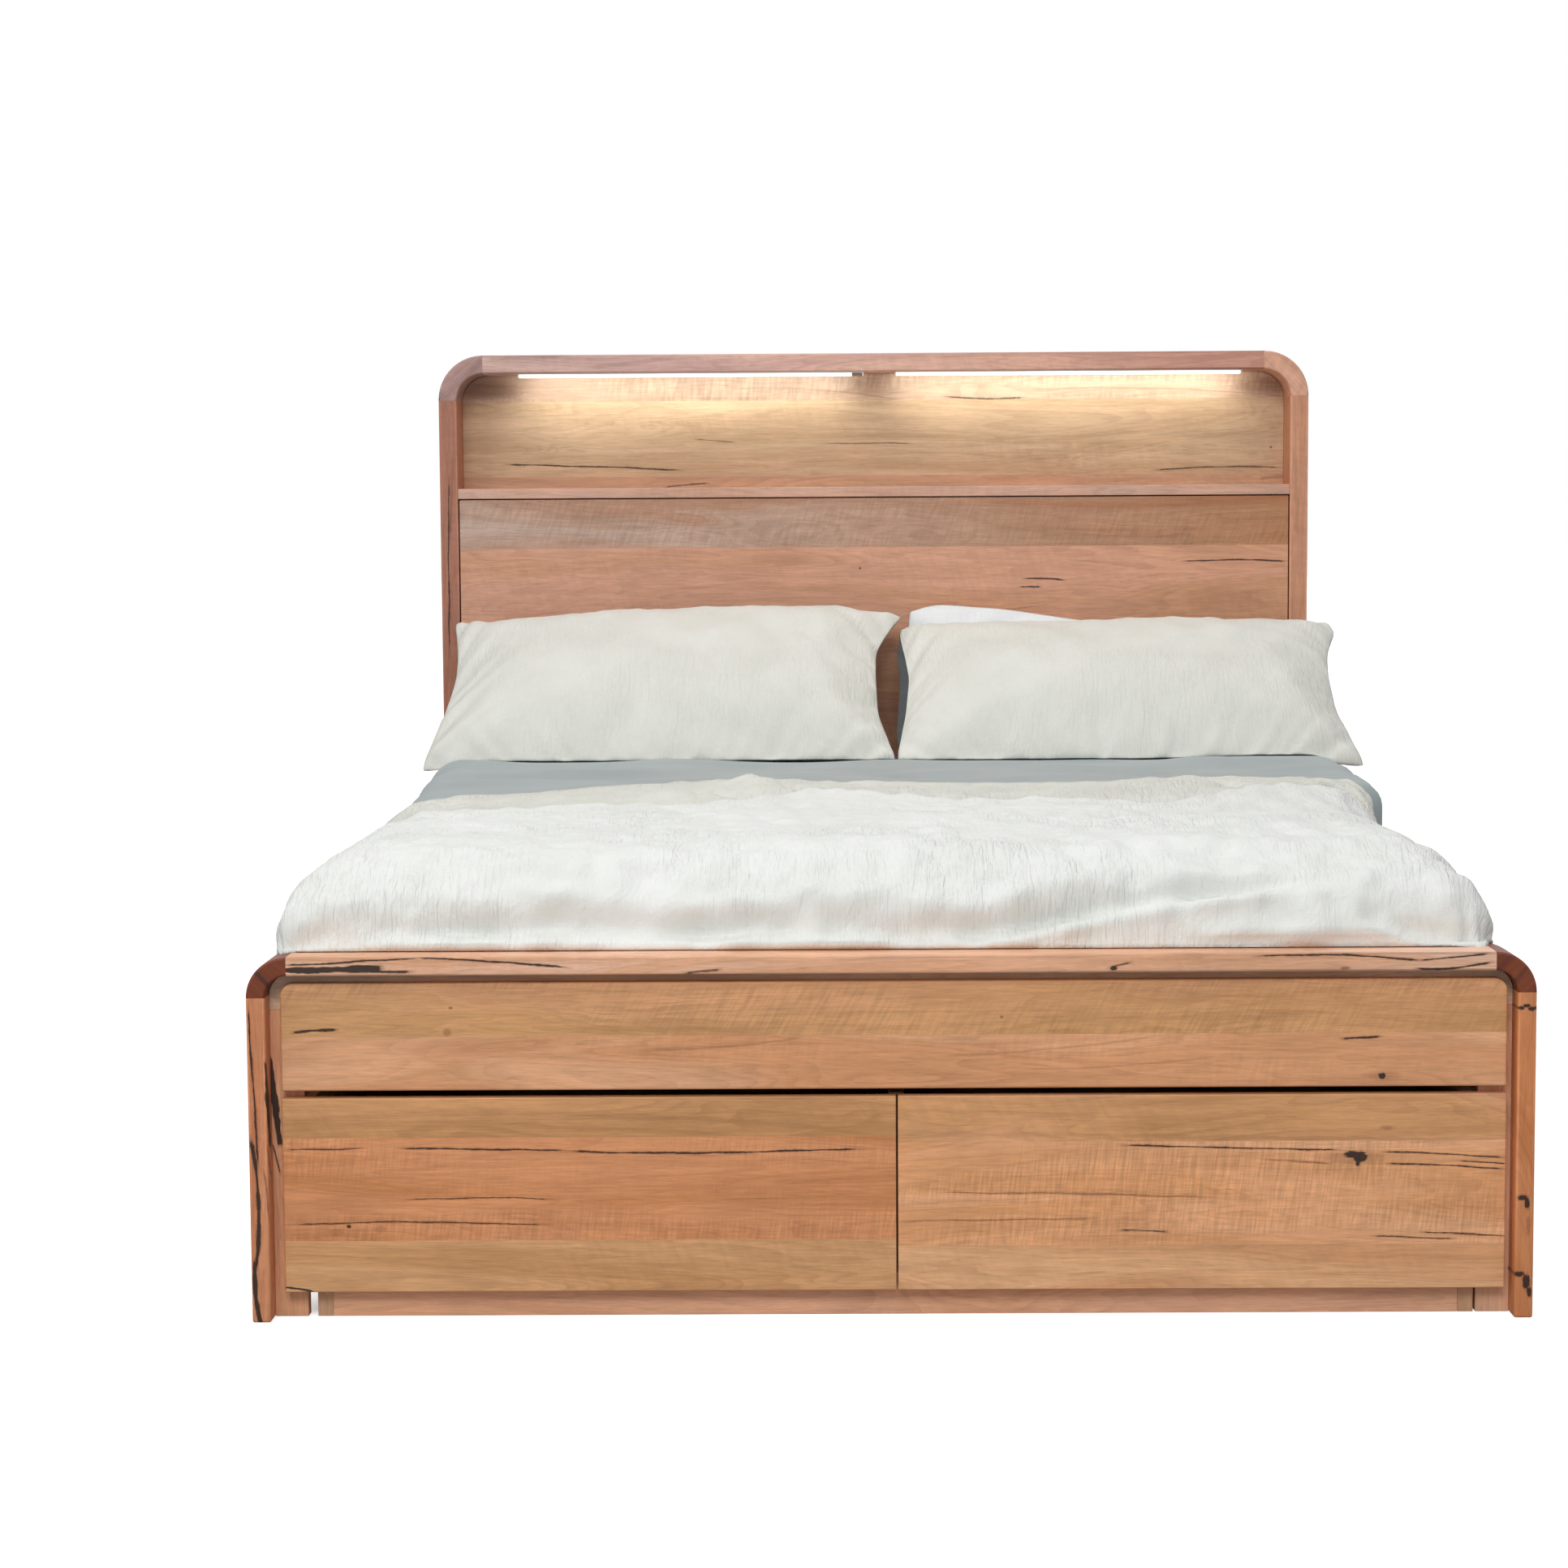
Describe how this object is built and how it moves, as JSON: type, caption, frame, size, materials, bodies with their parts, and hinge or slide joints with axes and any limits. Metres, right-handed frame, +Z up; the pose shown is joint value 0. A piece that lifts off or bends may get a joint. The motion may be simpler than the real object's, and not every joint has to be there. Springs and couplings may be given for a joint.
{
  "type": "bed with storage headboard",
  "caption": "Timber bed: arched headboard with a lit niche and shelf, arched footboard over pull-out foot drawers, slatted base, mattress, duvet, sheet and pillows.",
  "frame": {"origin": "on the floor, at the middle of the outer box in plan", "axes": "+Z up, +Y from the foot towards the headboard, +X to the right seen from the foot"},
  "size_m": [1.64, 2.27, 1.338],
  "materials": {
    "headboard_timber": "clear satin lacquer on pinkish brown hardwood",
    "footboard_timber": "clear satin lacquer on orange tan hardwood with black gum veins",
    "corner_timber": "clear satin lacquer on dark reddish brown hardwood",
    "frame_timber": "planed pine, unfinished",
    "birch_ply": "clear matt lacquer on birch plywood",
    "zinc_steel": "bright zinc plate on rolled steel",
    "aluminium": "natural anodised extrusion",
    "opal_cover": "opal polycarbonate, lit from within",
    "driver_case": "fine textured black ABS",
    "pillow_linen": "washed linen, pale green grey",
    "duvet_linen": "washed linen, off-white",
    "grey_sheet": "smooth cotton sateen, blue grey",
    "white_cotton": "plain woven white cotton"
  },
  "bodies": {
    "bed_frame": {"headboard_left_post": "headboard_timber", "headboard_right_post": "headboard_timber", "headboard_top_rail": "headboard_timber", "headboard_left_corner_block": "corner_timber", "headboard_right_corner_block": "corner_timber", "headboard_back_panel": "headboard_timber", "headboard_shelf": "headboard_timber", "headboard_front_panel": "headboard_timber", "headboard_case_floor": "birch_ply", "led_profile_left": "aluminium", "led_profile_right": "aluminium", "led_diffuser_left": "opal_cover", "led_diffuser_right": "opal_cover", "led_driver": "driver_case", "footboard_left_post": "footboard_timber", "footboard_right_post": "footboard_timber", "footboard_top_rail": "footboard_timber", "footboard_left_corner_block": "corner_timber", "footboard_right_corner_block": "corner_timber", "face_frame_left_stile": "footboard_timber", "face_frame_right_stile": "footboard_timber", "face_frame_top_rail": "footboard_timber", "fascia_board": "footboard_timber", "drawer_case_left_end": "footboard_timber", "drawer_case_right_end": "footboard_timber", "drawer_case_partition": "birch_ply", "drawer_case_back": "birch_ply", "kickboard": "footboard_timber", "left_drawer_left_case_runner": "zinc_steel", "left_drawer_right_case_runner": "zinc_steel", "right_drawer_left_case_runner": "zinc_steel", "right_drawer_right_case_runner": "zinc_steel", "side_rail_left": "footboard_timber", "side_rail_right": "footboard_timber", "slat_ledge_left": "frame_timber", "slat_ledge_right": "frame_timber", "centre_beam": "frame_timber", "centre_leg": "frame_timber", "slat_mat": "frame_timber", "mattress": "white_cotton", "duvet": "duvet_linen", "grey_sheet": "grey_sheet", "front_pillow_left": "pillow_linen", "front_pillow_right": "pillow_linen", "rear_pillow_left": "white_cotton", "rear_pillow_right": "white_cotton"},
    "left_drawer": {"left_drawer_front": "footboard_timber", "left_drawer_left_side": "birch_ply", "left_drawer_right_side": "birch_ply", "left_drawer_back": "birch_ply", "left_drawer_floor": "birch_ply", "left_drawer_left_drawer_runner": "zinc_steel", "left_drawer_right_drawer_runner": "zinc_steel"},
    "right_drawer": {"right_drawer_front": "footboard_timber", "right_drawer_left_side": "birch_ply", "right_drawer_right_side": "birch_ply", "right_drawer_back": "birch_ply", "right_drawer_floor": "birch_ply", "right_drawer_left_drawer_runner": "zinc_steel", "right_drawer_right_drawer_runner": "zinc_steel"}
  },
  "joints": [
    {"name": "left_drawer_slide", "type": "slide", "parent": "bed_frame", "child": "left_drawer", "axis": [0, -1, 0], "range_m": [0, 0.6]},
    {"name": "right_drawer_slide", "type": "slide", "parent": "bed_frame", "child": "right_drawer", "axis": [0, -1, 0], "range_m": [0, 0.6]}
  ]
}
